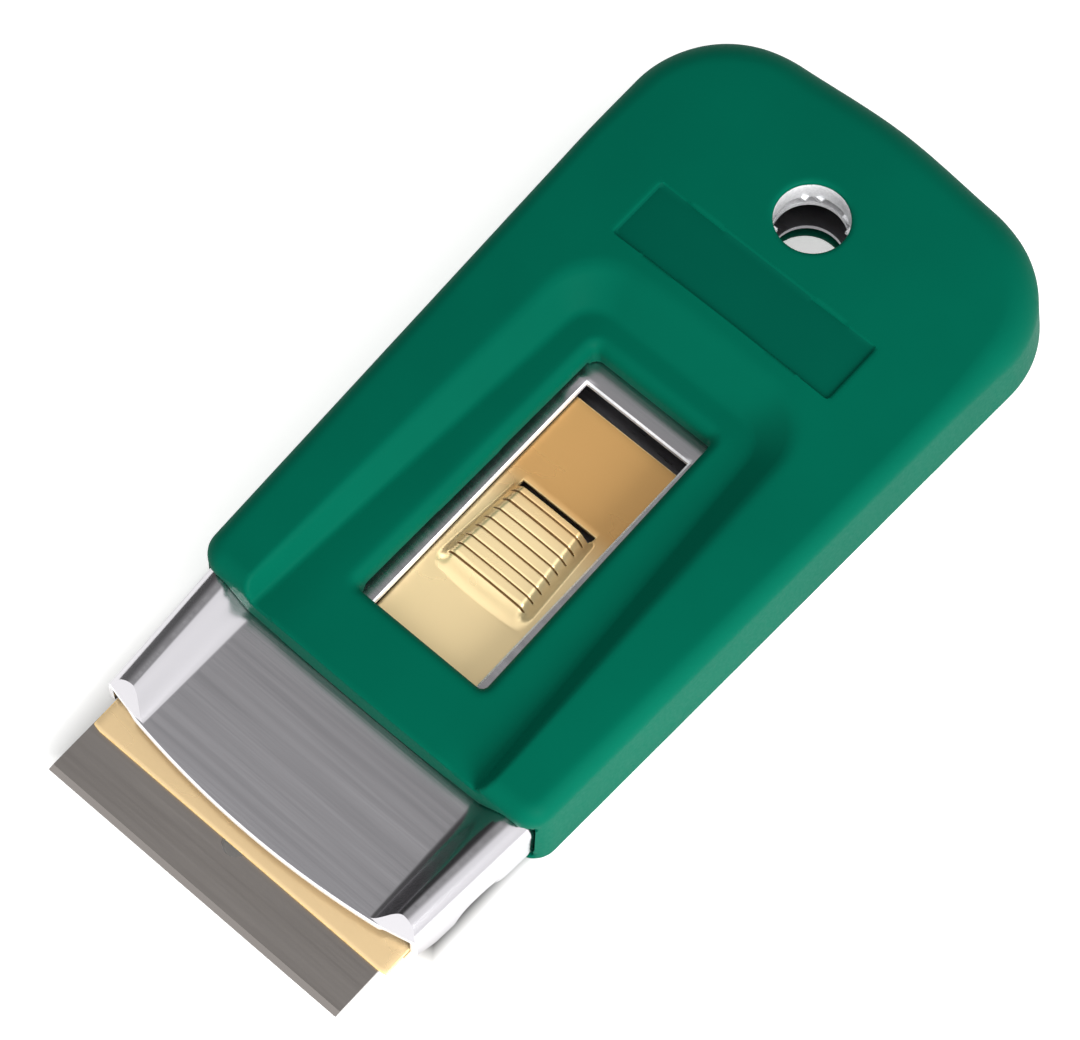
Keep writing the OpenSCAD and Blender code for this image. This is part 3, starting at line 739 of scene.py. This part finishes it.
class Shader:
    """A material and short calls to add nodes to it."""

    def __init__(self, name):
        self.material = bpy.data.materials.new(name)
        self.material.use_nodes = True
        self.tree = self.material.node_tree
        self.bsdf = self.tree.nodes["Principled BSDF"]

    def set(self, **values):
        for name, value in values.items():
            self.bsdf.inputs[name.replace("_", " ")].default_value = value

    def feed(self, target, source):
        if isinstance(source, bpy.types.NodeSocket):
            self.tree.links.new(source, target)
        else:
            target.default_value = source

    def node(self, kind, inputs=(), out=0, **options):
        node = self.tree.nodes.new(kind)
        for name, value in options.items():
            setattr(node, name, value)
        for name, value in dict(inputs).items():
            self.feed(node.inputs[name], value)
        return node.outputs[out]

    def axis(self, number):
        """One of a point's object coordinates, in metres."""
        place = self.node("ShaderNodeTexCoord", out=3)
        return self.node("ShaderNodeSeparateXYZ", {"Vector": place}, out=number)

    def noise(self, scale, detail=3.0, roughness=0.55):
        place = self.node("ShaderNodeTexCoord", out=3)
        scaled = self.node("ShaderNodeMapping", {"Vector": place, "Scale": scale})
        inputs = {"Vector": scaled, "Scale": 1.0, "Detail": detail, "Roughness": roughness}
        return self.node("ShaderNodeTexNoise", inputs)

    def band(self, value, low, high, to_low=0.0, to_high=1.0):
        return self.node(
            "ShaderNodeMapRange",
            {"Value": value, "From Min": low, "From Max": high, "To Min": to_low, "To Max": to_high},
        )

    def spread(self, noise, to_low=0.0, to_high=1.0):
        """Most of a noise's values stretched over a range."""
        return self.band(noise, 0.3, 0.7, to_low, to_high)

    def math(self, operation, a, b=0.0):
        return self.node("ShaderNodeMath", {0: a, 1: b}, operation=operation)

    def colour(self, factor, a, b):
        node = self.tree.nodes.new("ShaderNodeMix")
        node.data_type = "RGBA"
        self.feed(node.inputs[0], factor)
        self.feed(node.inputs[6], a)
        self.feed(node.inputs[7], b)
        return node.outputs[2]

    def bump(self, height, distance, strength):
        return self.node("ShaderNodeBump", {"Height": height, "Distance": distance, "Strength": strength})

    def link(self, name, source):
        self.tree.links.new(source, self.bsdf.inputs[name])


def rgb(code):
    """A linear colour from a screen colour written as six hex digits."""
    values = [int(code[i:i + 2], 16) / 255 for i in (0, 2, 4)]
    return (*[v / 12.92 if v <= 0.04045 else ((v + 0.055) / 1.055) ** 2.4 for v in values], 1.0)


def green_plastic(name, dark, light):
    """Satin moulded plastic with a slightly cloudy colour and a fine mould texture."""
    s = Shader(name)
    s.set(IOR=1.45, Specular_IOR_Level=0.02)
    cloud = s.noise((60, 60, 60), 3.0)
    s.link("Base Color", s.colour(s.spread(cloud), rgb(dark), rgb(light)))
    fine = s.noise((2600, 2600, 2600), 4.0, 0.6)
    s.link("Roughness", s.spread(fine, 0.42, 0.58))
    s.link("Normal", s.bump(fine, 0.00002, 0.25))
    return s.material


def brushed(name, dark, light, roughness, along, across, depth):
    """Sheet metal, smooth where it is bent, whose flats have a grain along X."""
    s = Shader(name)
    s.set(Metallic=1.0)
    normal = s.node("ShaderNodeNewGeometry", out=1)
    upright = s.node("ShaderNodeSeparateXYZ", {"Vector": normal}, out=2)
    flat = s.band(upright, 0.985, 0.998)
    grain = s.noise((along, across, along), 4.0, 0.65)
    streak = s.noise((along * 0.35, across * 0.2, along), 3.0, 0.6)
    scratched = s.colour(s.band(streak, 0.35, 0.75), rgb(dark), rgb(light))
    plain = s.colour(0.5, rgb(dark), rgb(light))
    s.link("Base Color", s.colour(flat, plain, scratched))
    rough = s.spread(grain, roughness * 0.85, roughness * 1.2)
    bent = s.band(flat, 0.0, 1.0, 0.16, 0.0)
    s.link("Roughness", s.math("ADD", s.math("MULTIPLY", rough, flat), bent))
    s.link("Normal", s.bump(grain, depth, flat))
    return s.material


def spring_sheet(name, lip, front, rear):
    """Bright rolled spring sheet, graded along its length: pale over the blade and at the thumb as a painted
    sheen, and more golden towards its end, partly its own brass colour and partly painted shade.
    """
    s = Shader(name)
    s.set(Metallic=0.6)
    cloud = s.noise((90, 160, 90), 3.0)
    drift = s.math("ADD", s.axis(1), s.band(cloud, 0.0, 1.0, -0.0015, 0.0015))
    head_y = (HEAD_Y1 + EDGE_Y) * MM
    slit_y = (SLIT_Y0 + EDGE_Y) * MM
    # Painted sheen: the lip and front tones keep the sheet pale over the blade and up to the louver.
    sheen_and_shade_tone = s.colour(s.band(drift, head_y - 0.006, head_y + 0.006), rgb(lip), rgb(front))
    # Behind the slit the sheet turns deeper gold: partly its own colour, partly painted shade.
    sheen_and_shade_tone = s.colour(s.band(drift, slit_y - 0.003, slit_y + 0.002), sheen_and_shade_tone, rgb(rear))
    s.link("Base Color", sheen_and_shade_tone)
    s.link("Roughness", s.band(cloud, 0.0, 1.0, 0.24, 0.32))
    return s.material


def cut_edge(name, dark, light):
    """A rough finish that scatters the light. On steel its pale colour is partly a painted highlight; in
    grooves its dark colour is painted shade.
    """
    s = Shader(name)
    s.set(Metallic=0.6, Roughness=0.45)
    grain = s.noise((3000, 3000, 3000), 3.0)
    s.link("Base Color", s.colour(s.spread(grain), rgb(dark), rgb(light)))
    return s.material


# Light and view


def area_light(name, place, aim, size, power):
    data = bpy.data.lights.new(name, "AREA")
    data.shape = "RECTANGLE"
    data.size, data.size_y = size
    data.energy = power
    light = bpy.data.objects.new(name, data)
    light.location = place
    light.rotation_euler = (Vector(aim) - Vector(place)).to_track_quat("-Z", "Y").to_euler()
    bpy.context.scene.collection.objects.link(light)


def build_floor():
    """A sheet that glows a little, so that shadows on it stay soft. Its glow is left out near and under the
    object, and it is painted dark under the case: painted shadow.
    """
    s = Shader("pale_floor")
    s.set(Roughness=0.9)
    s.bsdf.inputs["Emission Color"].default_value = (1.0, 1.0, 0.99, 1.0)
    aside = s.math("ABSOLUTE", s.axis(0))
    y = s.axis(1)

    def along(y0, y1):
        return s.band(y, (EDGE_Y + y0) * MM, (EDGE_Y + y1) * MM)

    cover_x = 20.5 * MM
    behind = along(60.0, 80.0)
    # No glow within 20.5 mm of the middle, from 4 mm to 60 mm behind the edge: painted shadow under the
    # blade, the case and the grip's front.
    glow = s.math("MAXIMUM", s.band(aside, cover_x, 25.0 * MM), s.math("MAXIMUM", along(4.0, 0.0), behind))
    s.link("Emission Strength", s.math("MULTIPLY", glow, 0.5))
    # Under the case the floor's colour turns nearly black: painted shadow.
    outside = s.math("MAXIMUM", s.band(aside, cover_x, 22.5 * MM), along(13.0, 10.5))
    free_of_painted_shadow = s.math("MAXIMUM", outside, behind)
    s.link("Base Color", s.colour(free_of_painted_shadow, (0.04, 0.04, 0.04, 1.0), (0.8, 0.8, 0.795, 1.0)))
    mesh = bpy.data.meshes.new("floor")
    half = 3.0
    corners = [(-half, -half, 0), (half, -half, 0), (half, half, 0), (-half, half, 0)]
    mesh.from_pydata(corners, [], [(0, 1, 2, 3)])
    mesh.materials.append(s.material)
    floor = bpy.data.objects.new("floor", mesh)
    bpy.context.scene.collection.objects.link(floor)


def build_world():
    """A studio that is white to the right and towards the cutting edge, grey above and dark on the left."""
    dark, grey, white, bright = 0.03, 0.42, 1.05, 1.3
    world = bpy.data.worlds.new("studio")
    world.use_nodes = True
    tree = world.node_tree
    background = tree.nodes["Background"]
    place = tree.nodes.new("ShaderNodeTexCoord")
    split = tree.nodes.new("ShaderNodeSeparateXYZ")
    tree.links.new(place.outputs["Generated"], split.inputs[0])

    def ramp(source, low, high):
        node = tree.nodes.new("ShaderNodeMapRange")
        node.interpolation_type = "SMOOTHSTEP"
        node.inputs["From Min"].default_value = low
        node.inputs["From Max"].default_value = high
        tree.links.new(source, node.inputs["Value"])
        return node.outputs[0]

    def blend(factor, base, value):
        node = tree.nodes.new("ShaderNodeMix")
        tree.links.new(factor, node.inputs[0])
        if isinstance(base, float):
            node.inputs[2].default_value = base
        else:
            tree.links.new(base, node.inputs[2])
        node.inputs[3].default_value = value
        return node.outputs[0]

    x, y, _ = split.outputs
    background.inputs["Color"].default_value = (1.0, 1.0, 1.0, 1.0)
    light = blend(ramp(x, -0.88, -0.36), dark, grey)
    light = blend(ramp(y, 0.27, -0.15), light, white)
    light = blend(ramp(x, 0.02, 0.4), light, bright)
    tree.links.new(light, background.inputs["Strength"])
    bpy.context.scene.world = world


def build_camera():
    """The photograph's camera: a long lens above the front right."""
    azimuth = math.radians(41.42)
    elevation = math.radians(66.6)
    target = Vector((-2.16, 54.89 + EDGE_Y, 0.0)) * MM
    distance = 0.4517
    focal_px = 4300.0
    frame_px = 1080.0
    back = Vector(
        (
            math.sin(azimuth) * math.cos(elevation),
            -math.cos(azimuth) * math.cos(elevation),
            math.sin(elevation),
        )
    )
    data = bpy.data.cameras.new("camera")
    data.sensor_fit = "HORIZONTAL"
    data.sensor_width = 36.0
    data.lens = focal_px / frame_px * data.sensor_width
    camera = bpy.data.objects.new("camera", data)
    right = Vector((0, 0, 1)).cross(back).normalized()
    up = back.cross(right)
    turn = Matrix((right, up, back)).transposed().to_4x4()
    camera.matrix_world = Matrix.Translation(target + back * distance) @ turn
    bpy.context.scene.collection.objects.link(camera)
    bpy.context.scene.camera = camera


def dress(node, material):
    """Gives a solid of the frame its material."""
    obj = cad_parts[node]
    obj.data.materials.clear()
    obj.data.materials.append(material)


bpy.context.scene.view_settings.view_transform = "Standard"
build_camera()
build_world()
build_floor()
area_light("key", place=(0.332, -0.128, 0.184), aim=(0, 0, 0), size=(0.19, 0.27), power=2.4)

green = green_plastic("green_plastic", "00503E", "005441")
# A darker copy of the green for the plate recess's floor: painted shade in the recess.
recess_shade_green = green_plastic("recess_plastic_painted_shade", "004738", "004A3A")
steel = brushed("brushed_steel", "B4B2B6", "CAC8CC", 0.22, 60, 4200, 0.000006)
back_steel = brushed("plain_steel", "A6A4A9", "B6B4B9", 0.3, 200, 2500, 0.00001)
# The lip and front tones are a painted sheen; the rear tone is partly painted shade.
brass = spring_sheet("spring_brass", "E2C596", "FFE5B0", "E0AE6C")
blade_steel = brushed("blade_steel", "928C88", "9C9692", 0.34, 60, 2500, 0.000003)
# Pale steel for the sheared edges: partly their own rough finish, partly a painted highlight.
steel_edge_and_highlight = cut_edge("steel_edge_and_highlight", "E0E0E2", "F4F4F6")
brass_edge = cut_edge("brass_edge", "E8C080", "F2D8A0")
# Dark brown for the louver's grooves: painted shade.
groove_shade_brass = cut_edge("groove_shade_brass", "6A4A24", "7A5830")

build_grip(green, recess_shade_green)
build_case(steel, steel_edge_and_highlight)
# The collar and the hem ring take the pale steel edge finish, a painted highlight that keeps the collar
# white.
build_collar(steel_edge_and_highlight)
build_carrier(brass, brass_edge, groove_shade_brass)
dress("case_back", back_steel)
dress("blade", blade_steel)
dress("blade_spine", back_steel)
